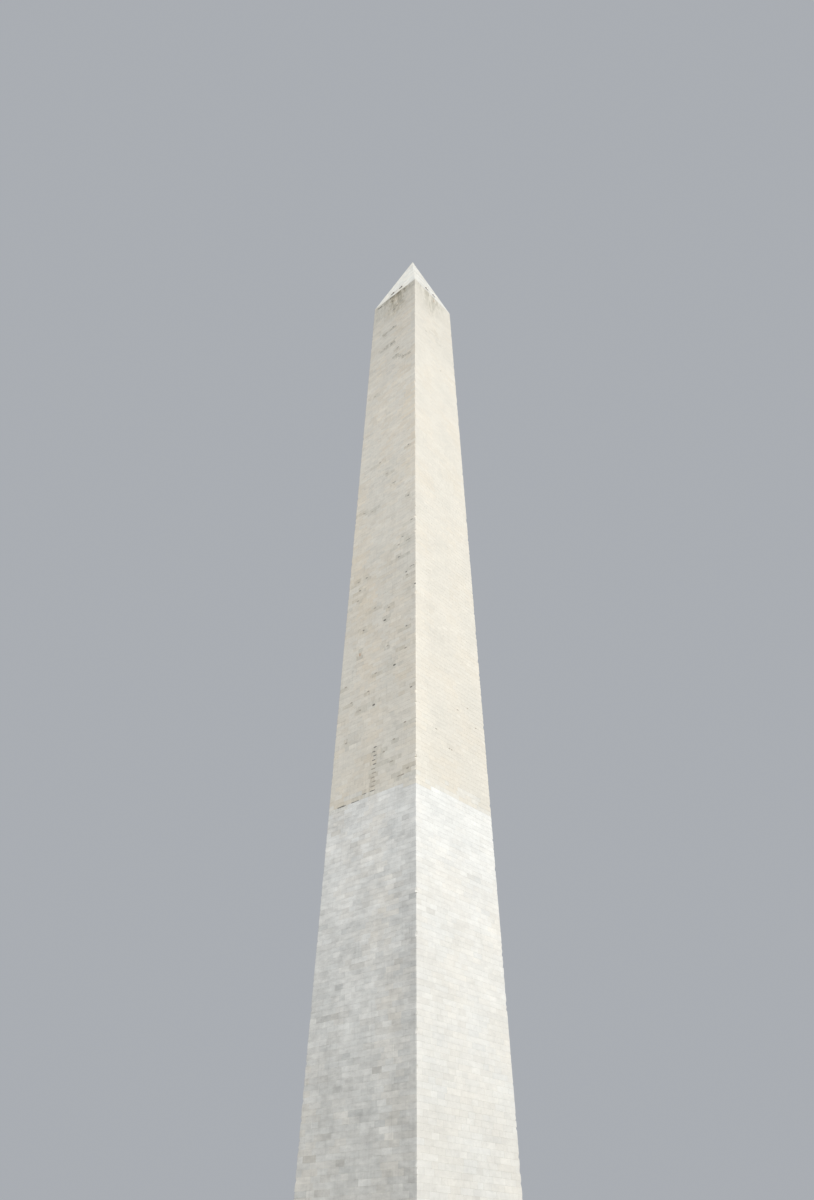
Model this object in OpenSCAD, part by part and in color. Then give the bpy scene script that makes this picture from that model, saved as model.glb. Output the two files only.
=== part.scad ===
// Tall tapering masonry obelisk, a 1:10 scale model. Units are millimetres, +Z is up,
// z = 0 is the ground and the underside of the ground floor, and the Z axis is the
// vertical centre line of the shaft. South is -Y, west is -X, and the doorway is in
// the east wall (+X). The shaft is a hollow square tube of four battered walls that
// meet on the diagonals, in three stages: thick walls round a narrow well, thinner
// walls round a wider well, and a short thin stage at the top. A steep pyramidion of
// stone slabs on ribs stands on it, with eight windows, and ends in a capstone and a
// small metal tip.

/* [Shaft] */
// width across the shaft at the ground
base_w = 1680; // [1600:1:1760]
// width across the shaft where the pyramidion starts
shaft_top_w = 1050; // [1000:1:1100]
// height of the shaft
shaft_h = 15215; // [14900:5:15500]
// top of the first stage, in whiter stone, at the setback in the well
lower_stage_h = 4625; // [4500:1:4900]
// start of the thin stage that has no backing stone
top_stage_z = 13754; // [13500:1:14500]
// width of the well in the first stage
well_lower_w = 765; // [700:1:800]
// width of the well above the setback
well_upper_w = 959; // [900:1:980]

/* [Doorway and floors] */
// clear width of the doorway in the east wall
door_w = 244; // [200:1:300]
// clear height of the doorway above the ground floor
door_h = 462; // [400:1:520]
// thickness of the ground floor
ground_floor_t = 25; // [15:1:60]
// thickness of the observation floor
obs_floor_t = 30; // [20:1:40]
// width of the observation floor, resting on the tops of the walls
obs_floor_w = 990; // [970:1:992]
// width of the square lift opening in the observation floor
lift_opening_w = 300; // [200:1:400]

/* [Pyramidion] */
// height of the pyramidion above the shaft, tip included
pyramidion_h = 1690; // [1600:5:1750]
// thickness of its slabs, square to the face
slab_t = 17.8; // [15:0.1:25]
// height of the slabs that hold the windows
windowed_h = 512; // [400:4:640]
// height of the foot of the capstone above the shaft
capstone_z = 1543; // [1500:1:1600]
// width of the metal tip at its foot
tip_w = 14.2; // [10:0.1:20]

/* [Ribs] */
// width of a rib
rib_w = 30; // [20:1:40]
// depth of a rib inside the slabs
rib_d = 60; // [40:1:80]
// distance of a side rib from the middle of its wall
rib_u = 250; // [220:1:300]

/* [Windows and lights] */
// distance of a window from the middle of its face
window_u = 105; // [90:1:120]
// height of the middle of a window above the shaft
window_z = 195; // [170:1:220]
// width of a window opening
window_w = 91; // [70:1:100]
// height of a window opening
window_h = 61; // [40:1:70]
// width of the metal of a window frame
frame_w = 6; // [4:0.5:10]
// thickness of a window frame
frame_t = 8; // [5:0.5:12]
// depth of a frame behind the face of the slab
frame_set = 6; // [3:0.5:8]
// thickness of the glass
glass_t = 3; // [2:0.5:4]
// height of a warning light above the middle of its window
light_up = 52; // [45:1:70]
// diameter of a warning light
light_d = 20; // [14:1:26]
// how far a warning light stands out of the slab
light_out = 8; // [5:1:12]

/* [Hidden] */
$fn = 48;
base_r = base_w / 2;
top_r = shaft_top_w / 2;
well_lower_r = well_lower_w / 2;
well_upper_r = well_upper_w / 2;
total_h = shaft_h + pyramidion_h;
door_top = ground_floor_t + door_h;
far = base_r + 60;
// slope of a pyramidion face, as sideways travel for each unit of height
pyr_k = top_r / pyramidion_h;
// the slab thickness measured level
slab_x = slab_t * sqrt(1 + pyr_k * pyr_k);
rib_x = rib_d * sqrt(1 + pyr_k * pyr_k);
windowed_top = shaft_h + windowed_h;
cap_z = shaft_h + capstone_z;
tip_z = total_h - tip_w / 2 / pyr_k;
win_z = shaft_h + window_z;
win_lo = win_z - window_h / 2;
win_hi = win_z + window_h / 2;
light_z = win_z + light_up;

marble_white = [0.86, 0.86, 0.83];
marble_tan = [0.84, 0.80, 0.72];
marble_top = [0.84, 0.81, 0.75];
slab_white = [0.90, 0.89, 0.85];
granite_floor = [0.55, 0.54, 0.52];
frame_grey = [0.30, 0.30, 0.31];
glass_dark = [0.16, 0.20, 0.24];
lamp_red = [0.70, 0.10, 0.08];
tip_metal = [0.80, 0.81, 0.83];

// half width of the shaft at height z
function shaft_r(z) = base_r - (base_r - top_r) * z / shaft_h;
// half width of the pyramidion at height z
function pyr_r(z) = (total_h - z) * pyr_k;

// Everything on one side is drawn on the south side and turned: south 0, east 90,
// north 180, west 270.
module turned(a) { rotate([0, 0, a]) children(); }

// a profile drawn as [y, z] points, carried along X from x0 to x1
module along_x(points, x0, x1) {
  translate([x0, 0, 0]) rotate([90, 0, 90]) linear_extrude(height = x1 - x0) polygon(points);
}

// the quarter of the plan that belongs to the south side, out to the diagonals
module south_quarter(z0, z1) {
  translate([0, 0, z0])
    linear_extrude(height = z1 - z0)
      polygon([[0, 0], [-far, -far], [far, -far]]);
}

// one battered wall of the shaft, plumb inside, mitred on the diagonals
module wall(z0, z1, inner) {
  intersection() {
    along_x([[-shaft_r(z0), z0], [-inner, z0], [-inner, z1], [-shaft_r(z1), z1]], -far, far);
    south_quarter(z0 - 10, z1 + 10);
  }
}

// the slabs of one face of the pyramidion
module slabs(z0, z1) {
  intersection() {
    along_x([[-pyr_r(z0), z0], [-(pyr_r(z0) - slab_x), z0],
             [-(pyr_r(z1) - slab_x), z1], [-pyr_r(z1), z1]], -far, far);
    south_quarter(z0 - 10, z1 + 10);
  }
}

// a flat piece lying in the slope of the south face: from depth d0 to depth d1 behind
// the face, between the heights z0 and z1, and between x0 and x1
module in_slope(d0, d1, z0, z1, x0, x1) {
  k = sqrt(1 + pyr_k * pyr_k);
  along_x([[-(pyr_r(z0) - d0 * k), z0], [-(pyr_r(z0) - d1 * k), z0],
           [-(pyr_r(z1) - d1 * k), z1], [-(pyr_r(z1) - d0 * k), z1]], x0, x1);
}

module windowed_slabs() {
  difference() {
    slabs(shaft_h, windowed_top);
    for (s = [-1, 1]) {
      translate([s * window_u - window_w / 2, -far, win_lo])
        cube([window_w, far - 300, window_h]);
      translate([s * window_u, -300, light_z])
        rotate([90, 0, 0]) cylinder(d = light_d, h = far - 300);
    }
  }
}

module frames() {
  for (s = [-1, 1])
    difference() {
      in_slope(frame_set, frame_set + frame_t, win_lo, win_hi,
               s * window_u - window_w / 2, s * window_u + window_w / 2);
      translate([s * window_u - window_w / 2 + frame_w, -far, win_lo + frame_w])
        cube([window_w - 2 * frame_w, far, window_h - 2 * frame_w]);
    }
}

module panes() {
  mid = frame_set + frame_t / 2;
  for (s = [-1, 1])
    in_slope(mid - glass_t / 2, mid + glass_t / 2, win_lo + frame_w, win_hi - frame_w,
             s * window_u - window_w / 2 + frame_w, s * window_u + window_w / 2 - frame_w);
}

module lights() {
  for (s = [-1, 1])
    translate([s * window_u, 0, light_z])
      rotate([90, 0, 0])
        rotate_extrude()
          polygon([[0, pyr_r(light_z) - slab_x], [light_d / 2, pyr_r(light_z) - slab_x],
                   [light_d / 2, pyr_r(light_z) + light_out * 0.6],
                   [light_d * 0.36, pyr_r(light_z) + light_out * 0.9],
                   [light_d * 0.2, pyr_r(light_z) + light_out],
                   [0, pyr_r(light_z) + light_out]]);
}

// one rib of the south side, its middle at x = u, from the observation floor's bearing
// up to the height z1
module rib(u, z0, z1) {
  intersection() {
    along_x([[-(pyr_r(z0) - slab_x), z0], [-(pyr_r(z0) - slab_x - rib_x), z0],
             [-(pyr_r(z1) - slab_x - rib_x), z1], [-(pyr_r(z1) - slab_x), z1]],
            u - rib_w / 2, u + rib_w / 2);
    south_quarter(z0 - 10, z1 + 10);
  }
}

// which piece to show

module ground_floor() {
  color(granite_floor) union() {
    translate([-well_lower_r, -well_lower_r, 0]) cube([well_lower_w, well_lower_w, ground_floor_t]);
    translate([0, -door_w / 2, 0]) cube([shaft_r(ground_floor_t) - 1, door_w, ground_floor_t]);
  }
}

module lower_wall_north() { color(marble_white) turned(180) wall(0, lower_stage_h, well_lower_r); }
module lower_wall_south() { color(marble_white) turned(0) wall(0, lower_stage_h, well_lower_r); }
module lower_wall_west() { color(marble_white) turned(270) wall(0, lower_stage_h, well_lower_r); }

// the east wall beside the doorway, seen from outside: left is the south end
module lower_wall_east_left() {
  color(marble_white) turned(90) intersection() {
    wall(0, door_top, well_lower_r);
    translate([-far, -far, -10]) cube([far - door_w / 2, far, door_top + 20]);
  }
}

module lower_wall_east_right() {
  color(marble_white) turned(90) intersection() {
    wall(0, door_top, well_lower_r);
    translate([door_w / 2, -far, -10]) cube([far - door_w / 2, far, door_top + 20]);
  }
}

module lower_wall_over_doorway() { color(marble_white) turned(90) wall(door_top, lower_stage_h, well_lower_r); }

module upper_wall_north() { color(marble_tan) turned(180) wall(lower_stage_h, top_stage_z, well_upper_r); }
module upper_wall_east() { color(marble_tan) turned(90) wall(lower_stage_h, top_stage_z, well_upper_r); }
module upper_wall_south() { color(marble_tan) turned(0) wall(lower_stage_h, top_stage_z, well_upper_r); }
module upper_wall_west() { color(marble_tan) turned(270) wall(lower_stage_h, top_stage_z, well_upper_r); }

module top_wall_north() { color(marble_top) turned(180) wall(top_stage_z, shaft_h, well_upper_r); }
module top_wall_east() { color(marble_top) turned(90) wall(top_stage_z, shaft_h, well_upper_r); }
module top_wall_south() { color(marble_top) turned(0) wall(top_stage_z, shaft_h, well_upper_r); }
module top_wall_west() { color(marble_top) turned(270) wall(top_stage_z, shaft_h, well_upper_r); }

module observation_floor() {
  color(granite_floor) difference() {
    translate([-obs_floor_w / 2, -obs_floor_w / 2, shaft_h]) cube([obs_floor_w, obs_floor_w, obs_floor_t]);
    translate([-lift_opening_w / 2, -lift_opening_w / 2, shaft_h - 10])
      cube([lift_opening_w, lift_opening_w, obs_floor_t + 20]);
  }
}

module windowed_slabs_north() { color(slab_white) turned(180) windowed_slabs(); }
module windowed_slabs_east() { color(slab_white) turned(90) windowed_slabs(); }
module windowed_slabs_south() { color(slab_white) turned(0) windowed_slabs(); }
module windowed_slabs_west() { color(slab_white) turned(270) windowed_slabs(); }

module upper_slabs_north() { color(slab_white) turned(180) slabs(windowed_top, cap_z); }
module upper_slabs_east() { color(slab_white) turned(90) slabs(windowed_top, cap_z); }
module upper_slabs_south() { color(slab_white) turned(0) slabs(windowed_top, cap_z); }
module upper_slabs_west() { color(slab_white) turned(270) slabs(windowed_top, cap_z); }

// the four middle ribs, which meet in a cross under the capstone
module centre_ribs() {
  color(slab_white) union() {
    for (a = [0, 90, 180, 270]) turned(a) rib(0, shaft_h + obs_floor_t, cap_z);
  }
}

// the eight side ribs, which meet in pairs at the hips
module hip_ribs() {
  color(slab_white) for (a = [0, 90, 180, 270]) turned(a) union() {
    rib(rib_u, shaft_h + obs_floor_t, cap_z);
    turned(90) rib(-rib_u, shaft_h + obs_floor_t, cap_z);
  }
}

module window_frames_north() { color(frame_grey) turned(180) frames(); }
module window_frames_east() { color(frame_grey) turned(90) frames(); }
module window_frames_south() { color(frame_grey) turned(0) frames(); }
module window_frames_west() { color(frame_grey) turned(270) frames(); }

module window_glass_north() { color(glass_dark) turned(180) panes(); }
module window_glass_east() { color(glass_dark) turned(90) panes(); }
module window_glass_south() { color(glass_dark) turned(0) panes(); }
module window_glass_west() { color(glass_dark) turned(270) panes(); }

module warning_lights() {
  color(lamp_red) for (a = [0, 90, 180, 270]) turned(a) lights();
}

// the capstone, a solid block of stone with four sloping faces
module capstone() {
  color(slab_white) intersection() {
    along_x([[-pyr_r(cap_z), cap_z], [pyr_r(cap_z), cap_z], [pyr_r(tip_z), tip_z], [-pyr_r(tip_z), tip_z]], -far, far);
    turned(90) along_x([[-pyr_r(cap_z), cap_z], [pyr_r(cap_z), cap_z], [pyr_r(tip_z), tip_z], [-pyr_r(tip_z), tip_z]], -far, far);
  }
}

// the metal tip, a small pyramid that carries the lines of the faces to a point
module metal_tip() {
  color(tip_metal) intersection() {
    along_x([[-pyr_r(tip_z), tip_z], [pyr_r(tip_z), tip_z], [0, total_h]], -far, far);
    turned(90) along_x([[-pyr_r(tip_z), tip_z], [pyr_r(tip_z), tip_z], [0, total_h]], -far, far);
  }
}

ground_floor();
lower_wall_north();
lower_wall_south();
lower_wall_west();
lower_wall_east_left();
lower_wall_east_right();
lower_wall_over_doorway();
upper_wall_north();
upper_wall_east();
upper_wall_south();
upper_wall_west();
top_wall_north();
top_wall_east();
top_wall_south();
top_wall_west();
observation_floor();
windowed_slabs_north();
windowed_slabs_east();
windowed_slabs_south();
windowed_slabs_west();
upper_slabs_north();
upper_slabs_east();
upper_slabs_south();
upper_slabs_west();
centre_ribs();
hip_ribs();
window_frames_north();
window_frames_east();
window_frames_south();
window_frames_west();
window_glass_north();
window_glass_east();
window_glass_south();
window_glass_west();
warning_lights();
capstone();
metal_tip();
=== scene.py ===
"""Looks of the obelisk: courses of marble with real joints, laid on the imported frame. Metres, +Z up."""
import math
import random

import bmesh
import bpy
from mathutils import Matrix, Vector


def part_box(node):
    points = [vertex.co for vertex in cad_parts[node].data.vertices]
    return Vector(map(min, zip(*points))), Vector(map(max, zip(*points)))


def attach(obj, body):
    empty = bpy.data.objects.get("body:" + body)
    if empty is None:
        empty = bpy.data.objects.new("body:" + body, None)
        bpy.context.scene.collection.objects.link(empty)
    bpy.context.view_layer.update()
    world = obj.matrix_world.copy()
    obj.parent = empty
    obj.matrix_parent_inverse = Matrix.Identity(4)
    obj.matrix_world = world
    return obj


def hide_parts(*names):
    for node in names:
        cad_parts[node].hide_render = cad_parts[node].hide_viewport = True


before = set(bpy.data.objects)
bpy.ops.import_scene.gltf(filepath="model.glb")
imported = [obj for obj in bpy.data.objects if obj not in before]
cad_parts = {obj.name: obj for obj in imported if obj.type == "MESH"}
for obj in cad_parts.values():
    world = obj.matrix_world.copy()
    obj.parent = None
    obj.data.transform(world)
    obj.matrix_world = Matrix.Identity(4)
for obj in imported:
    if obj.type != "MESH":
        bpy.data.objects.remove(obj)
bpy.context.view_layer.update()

# ------------------------------------------------------------------ sizes, all read from the frame


def lo(n, i):
    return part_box(n)[0][i]


def hi(n, i):
    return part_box(n)[1][i]


BASE_R = -lo("lower_wall_south", 1)  # half width at the ground
LOWER_H = hi("lower_wall_south", 2)  # top of the whiter stage
TOP_Z = lo("top_wall_south", 2)  # foot of the thin top stage
SHAFT_H = hi("top_wall_south", 2)
TOP_R = -lo("windowed_slabs_south", 1)
TOTAL_H = hi("metal_tip", 2)
WELL_LO = -hi("lower_wall_south", 1)
WELL_UP = -hi("upper_wall_south", 1)
DOOR_TOP = lo("lower_wall_over_doorway", 2)
DOOR_R = lo("lower_wall_east_right", 1)
WINDOWED_TOP = hi("windowed_slabs_south", 2)
CAP_Z = lo("capstone", 2)
TIP_Z = lo("metal_tip", 2)
PYR_K = TOP_R / (TOTAL_H - SHAFT_H)
SLAB_X = (TOTAL_H - CAP_Z) * PYR_K + hi("upper_slabs_south", 1)

SIDES = ("south", "east", "north", "west")
GRIME = {"south": 0.25, "east": 0.5, "north": 0.9, "west": 1.0}  # the sunny side stays cleanest
STONE_SPREAD_SUN_WASHED = {"south": 0.55, "east": 0.75, "north": 1.0, "west": 1.15}  # how much the stones differ on each side: painted light, the sunlit south and east drawn flatter as their strong light washes the differences out
GAP = 0.0007  # joint between stones
BEV = 0.0007  # worn arris of a stone
DEEP = 0.0010  # how far the mortar lies back
CORNER = 0.018  # strip of a corner stone that takes the chips


def shaft_r(z):
    return BASE_R - (BASE_R - TOP_R) * z / SHAFT_H


def pyr_r(z):
    return (TOTAL_H - z) * PYR_K


def rnd(*keys):
    """The same number from 0 to 1 for the same whole numbers."""
    x = 0x9E3779B9
    for k in keys:
        x ^= (int(k) + 0x7F4A7C15 + ((x << 6) & 0xFFFFFFFF) + (x >> 2)) & 0xFFFFFFFF
        x = (x * 2654435761) & 0xFFFFFFFF
        x ^= x >> 15
    return ((x * 2246822519) & 0xFFFFFFFF) / 4294967296.0


def smooth(a, b, x):
    t = min(1.0, max(0.0, (x - a) / (b - a)))
    return t * t * (3 - 2 * t)


def wave(u, v, key):
    """A slow, even variation over a wall, from -1 to 1."""
    s = 0.0
    for i in range(4):
        a = rnd(key, i, 1) * 6.283
        f = 1.2 + 2.6 * rnd(key, i, 2)
        s += math.sin(u * f * math.cos(a) + v * f * math.sin(a) + rnd(key, i, 3) * 6.283)
    return s / 4


# ------------------------------------------------------------------ materials


class Nodes:
    """A short way to write a node tree."""

    def __init__(self, name):
        self.mat = bpy.data.materials.new(name)
        self.mat.use_nodes = True
        self.t = self.mat.node_tree
        self.bsdf = next(n for n in self.t.nodes if n.type == "BSDF_PRINCIPLED")

    def add(self, kind, **props):
        n = self.t.nodes.new(kind)
        for k, v in props.items():
            setattr(n, k, v)
        return n

    def link(self, a, b):
        self.t.links.new(a, b)

    def put(self, socket, value):
        if hasattr(value, "is_linked") or hasattr(value, "links"):
            self.link(value, socket)
        else:
            socket.default_value = value

    def math(self, op, a, b=0.0, c=None, clamp=False):
        n = self.add("ShaderNodeMath", operation=op, use_clamp=clamp)
        self.put(n.inputs[0], a)
        self.put(n.inputs[1], b)
        if c is not None:
            self.put(n.inputs[2], c)
        return n.outputs[0]

    def vec(self, op, a, b=None, scale=None):
        n = self.add("ShaderNodeVectorMath", operation=op)
        self.put(n.inputs[0], a)
        if b is not None:
            self.put(n.inputs[1], b)
        if scale is not None:
            self.put(n.inputs["Scale"], scale)
        return n.outputs[0]

    def where(self):
        return self.add("ShaderNodeTexCoord").outputs["Object"]

    def noise(self, vector, scale, detail=3.0, rough=0.5, distortion=0.0):
        n = self.add("ShaderNodeTexNoise")
        self.link(vector, n.inputs["Vector"])
        n.inputs["Scale"].default_value = scale
        n.inputs["Detail"].default_value = detail
        n.inputs["Roughness"].default_value = rough
        n.inputs["Distortion"].default_value = distortion
        return n.outputs[0]

    def ramp(self, fac, stops, mode="LINEAR"):
        n = self.add("ShaderNodeValToRGB")
        n.color_ramp.interpolation = mode
        els = n.color_ramp.elements
        while len(els) < len(stops):
            els.new(0.5)
        for e, (pos, col) in zip(els, stops):
            e.position = pos
            e.color = (*col, 1.0) if len(col) == 3 else col
        self.link(fac, n.inputs[0])
        return n.outputs["Color"]

    def step(self, x, a, b):
        """0 below a, 1 above b, smooth between."""
        n = self.add("ShaderNodeMapRange", interpolation_type="SMOOTHSTEP", clamp=True)
        self.link(x, n.inputs["Value"])
        n.inputs["From Min"].default_value = a
        n.inputs["From Max"].default_value = b
        n.inputs["To Min"].default_value = 0.0
        n.inputs["To Max"].default_value = 1.0
        return n.outputs["Result"]

    def mix(self, fac, a, b, kind="MIX"):
        n = self.add("ShaderNodeMix", data_type="RGBA", blend_type=kind, clamp_factor=True)
        self.put(n.inputs["Factor"], fac)
        self.put(n.inputs[6], a)
        self.put(n.inputs[7], b)
        return n.outputs[2]

    def bump(self, height, strength, distance):
        n = self.add("ShaderNodeBump")
        n.inputs["Strength"].default_value = strength
        n.inputs["Distance"].default_value = distance
        self.link(height, n.inputs["Height"])
        self.link(n.outputs[0], self.bsdf.inputs["Normal"])


def marble():
    """Weathered ashlar. The attribute "stone" gives each stone its tone, tint, own number and stain, "zone" says which
    marble it is, and "grime" how dirty its side of the shaft is."""
    k = Nodes("marble_ashlar")
    p = k.where()
    stone = k.add("ShaderNodeAttribute", attribute_name="stone")
    zone = k.add("ShaderNodeAttribute", attribute_name="zone").outputs["Fac"]
    grime = k.add("ShaderNodeAttribute", attribute_name="grime").outputs["Fac"]
    sep = k.add("ShaderNodeSeparateColor")
    k.link(stone.outputs["Color"], sep.inputs[0])
    tone, tint, own = sep.outputs[0], sep.outputs[1], sep.outputs[2]
    stain = stone.outputs["Alpha"]
    shift = k.vec("SCALE", (13.1, 7.7, 5.3), scale=own)
    q = k.vec("ADD", p, shift)

    base = k.ramp(zone, [(0.0, MARBLE_LOW), (0.30, MARBLE_LOW), (0.36, MARBLE_BAND), (0.60, MARBLE_BAND), (0.66, MARBLE_HIGH), (0.80, MARBLE_HIGH), (0.86, MARBLE_SLAB), (1.0, MARBLE_SLAB)])
    warm = k.mix(k.math("MULTIPLY", k.math("SUBTRACT", tint, 0.5), 2.0, clamp=True), base, k.mix(1.0, base, (0.94, 0.82, 0.66, 1), "MULTIPLY"))
    cool = k.mix(k.math("MULTIPLY", k.math("SUBTRACT", 0.5, tint), 2.0, clamp=True), warm, k.mix(1.0, base, (0.88, 0.93, 0.97, 1), "MULTIPLY"))

    mottle = k.noise(q, 20.0, 5.0, 0.58)
    grain = k.noise(q, 130.0, 4.0, 0.6)
    cloud = k.noise(p, 1.7, 3.0, 0.5)
    vein_n = k.noise(q, 8.5, 4.0, 0.55, 1.6)
    vein = k.math("SUBTRACT", 1.0, k.step(k.math("ABSOLUTE", k.math("SUBTRACT", vein_n, 0.5)), 0.004, 0.030))
    vein = k.math("MULTIPLY", vein, k.step(mottle, 0.42, 0.62))
    tall = k.vec("MULTIPLY", p, (38.0, 38.0, 1.6))
    streak = k.step(k.noise(tall, 1.0, 4.0, 0.6), 0.52, 0.78)
    # dirt and open joints along some of the beds
    z = k.add("ShaderNodeSeparateXYZ")
    k.link(p, z.inputs[0])
    part = k.math("FRACT", k.math("DIVIDE", z.outputs[2], COURSE))
    near = k.math("ABSOLUTE", k.math("SUBTRACT", part, 0.5))
    bed = k.step(near, 0.36, 0.50)
    long = k.vec("MULTIPLY", p, (5.0, 5.0, 19.0))
    some = k.step(k.noise(long, 1.0, 3.0, 0.65), 0.56, 0.70)
    bed = k.math("MULTIPLY", bed, some)

    # weather that runs over the stones: soft clouds, and short light and dark runs along the beds
    soft = k.noise(k.vec("MULTIPLY", p, (3.4, 3.4, 4.6)), 1.0, 4.0, 0.6)
    runs = k.noise(k.vec("MULTIPLY", p, (7.5, 7.5, 24.0)), 1.0, 4.0, 0.62)
    lower = k.math("SUBTRACT", 1.0, k.step(zone, 0.35, 0.60))
    weather = k.math("MULTIPLY_ADD", k.math("SUBTRACT", soft, 0.5), 0.46, k.math("MULTIPLY", k.math("SUBTRACT", runs, 0.5), 0.50))
    weather = k.math("MULTIPLY", weather, k.math("MULTIPLY_ADD", lower, 0.48, 0.52))
    dull = k.math("MULTIPLY", k.step(runs, 0.51, 0.70), k.math("SUBTRACT", 1.0, lower))
    m = k.math("MULTIPLY_ADD", k.math("SUBTRACT", tone, 0.5), 0.60, 1.0)
    m = k.math("MULTIPLY_ADD", k.math("SUBTRACT", mottle, 0.5), 0.22, m)
    m = k.math("MULTIPLY_ADD", k.math("SUBTRACT", grain, 0.5), 0.12, m)
    m = k.math("MULTIPLY_ADD", k.math("SUBTRACT", cloud, 0.5), 0.12, m)
    m = k.math("MULTIPLY_ADD", k.math("MULTIPLY", weather, k.math("MULTIPLY_ADD", grime, 0.75, 0.25)), 1.0, m)
    m = k.math("MULTIPLY_ADD", k.math("MULTIPLY", dull, grime), -0.15, m)
    m = k.math("MULTIPLY_ADD", vein, -0.07, m)
    m = k.math("MULTIPLY_ADD", k.math("MULTIPLY", streak, grime), -0.09, m)
    m = k.math("MULTIPLY_ADD", k.math("MULTIPLY", bed, grime), -0.15, m)
    # painted shade: the shaft is drawn darker towards its foot, standing in for the dimmer light low down
    foot = k.math("SUBTRACT", 1.0, k.step(z.outputs[2], -0.8, 4.6))
    m = k.math("MULTIPLY", m, k.math("MULTIPLY_ADD", foot, -0.25, 1.0))
    dark = k.math("MULTIPLY", stain, k.step(k.noise(k.vec("MULTIPLY", p, (16.0, 16.0, 5.0)), 1.0, 4.0, 0.6), 0.30, 0.58))
    m = k.math("MULTIPLY_ADD", dark, -0.72, m)
    m = k.math("MAXIMUM", m, 0.10)
    col = k.vec("SCALE", cool, scale=m)
    col = k.mix(k.math("MULTIPLY", dark, 0.60), col, k.mix(1.0, col, (0.90, 0.88, 0.68, 1), "MULTIPLY"))
    k.link(col, k.bsdf.inputs["Base Color"])
    k.link(k.math("MULTIPLY_ADD", mottle, 0.30, 0.52), k.bsdf.inputs["Roughness"])
    k.bsdf.inputs["Specular IOR Level"].default_value = 0.35
    rough = k.math("MULTIPLY_ADD", k.noise(q, 420.0, 3.0, 0.6), 0.6, k.math("MULTIPLY", grain, 0.8))
    k.bump(rough, 0.35, 0.0008)
    return k.mat


def mortar():
    k = Nodes("lime_mortar")
    p = k.where()
    n = k.noise(p, 60.0, 4.0, 0.6)
    grey = k.ramp(n, [(0.3, (0.42, 0.395, 0.345)), (0.7, (0.64, 0.61, 0.545))])
    pale = k.ramp(n, [(0.3, (0.56, 0.52, 0.445)), (0.7, (0.75, 0.71, 0.62))])
    z = k.add("ShaderNodeSeparateXYZ")
    k.link(p, z.inputs[0])
    k.link(k.mix(k.step(z.outputs[2], LOWER_H - 0.05, LOWER_H + 0.05), grey, pale), k.bsdf.inputs["Base Color"])
    k.bsdf.inputs["Roughness"].default_value = 0.92
    k.bump(k.noise(p, 600.0, 2.0), 0.5, 0.0006)
    return k.mat


def backing():
    """The stone inside: blue gneiss rubble low down and grey granite above, by the stone's own tone."""
    k = Nodes("granite_backing")
    p = k.where()
    stone = k.add("ShaderNodeAttribute", attribute_name="stone")
    sep = k.add("ShaderNodeSeparateColor")
    k.link(stone.outputs["Color"], sep.inputs[0])
    q = k.vec("ADD", p, k.vec("SCALE", (9.7, 4.1, 6.3), scale=sep.outputs[2]))
    fleck = k.noise(q, 260.0, 3.0, 0.75)
    patch = k.noise(q, 14.0, 4.0, 0.55)
    col = k.ramp(fleck, [(0.32, (0.13, 0.13, 0.135)), (0.47, (0.33, 0.325, 0.31)), (0.62, (0.47, 0.46, 0.435)), (0.75, (0.62, 0.60, 0.57))])
    m = k.math("MULTIPLY_ADD", k.math("SUBTRACT", sep.outputs[0], 0.5), 0.55, 0.95)
    m = k.math("MULTIPLY_ADD", k.math("SUBTRACT", patch, 0.5), 0.35, m)
    k.link(k.vec("SCALE", col, scale=m), k.bsdf.inputs["Base Color"])
    k.bsdf.inputs["Roughness"].default_value = 0.8
    k.bump(k.math("MULTIPLY_ADD", fleck, 0.4, patch), 0.5, 0.0015)
    return k.mat


def floor_stone():
    """Honed flags of granite, each with its own tone."""
    k = Nodes("granite_flags")
    p = k.where()
    b = k.add("ShaderNodeTexBrick")
    k.link(p, b.inputs["Vector"])
    b.inputs["Color1"].default_value = (0.36, 0.35, 0.335, 1)
    b.inputs["Color2"].default_value = (0.46, 0.45, 0.43, 1)
    b.inputs["Mortar"].default_value = (0.20, 0.19, 0.18, 1)
    b.inputs["Scale"].default_value = 1.0
    b.inputs["Mortar Size"].default_value = 0.0012
    b.inputs["Brick Width"].default_value = 0.12
    b.inputs["Row Height"].default_value = 0.06
    n = k.noise(p, 300.0, 3.0, 0.7)
    k.link(k.vec("SCALE", b.outputs["Color"], scale=k.math("MULTIPLY_ADD", n, 0.7, 0.62)), k.bsdf.inputs["Base Color"])
    k.link(k.math("MULTIPLY_ADD", n, 0.25, 0.35), k.bsdf.inputs["Roughness"])
    k.bump(k.math("MULTIPLY_ADD", b.outputs["Fac"], -1.0, k.math("MULTIPLY", n, 0.08)), 0.6, 0.001)
    return k.mat


def patch(name, dark, light):
    """Old cement, soot crust or rust on the stone, mottled between two colours."""
    k = Nodes(name)
    p = k.where()
    n = k.noise(p, 85.0, 5.0, 0.65)
    k.link(k.ramp(n, [(0.34, dark), (0.66, light)]), k.bsdf.inputs["Base Color"])
    k.link(k.math("MULTIPLY_ADD", n, 0.25, 0.72), k.bsdf.inputs["Roughness"])
    k.bump(k.noise(p, 320.0, 4.0, 0.65), 0.6, 0.0008)
    return k.mat


def frame_paint():
    k = Nodes("window_frame_paint")
    n = k.noise(k.where(), 90.0, 4.0, 0.6)
    k.link(k.ramp(n, [(0.35, (0.024, 0.024, 0.026)), (0.65, (0.050, 0.048, 0.046))]), k.bsdf.inputs["Base Color"])
    k.link(k.math("MULTIPLY_ADD", n, 0.3, 0.5), k.bsdf.inputs["Roughness"])
    k.bsdf.inputs["Specular IOR Level"].default_value = 0.25
    k.bsdf.inputs["Metallic"].default_value = 0.0
    return k.mat


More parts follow.
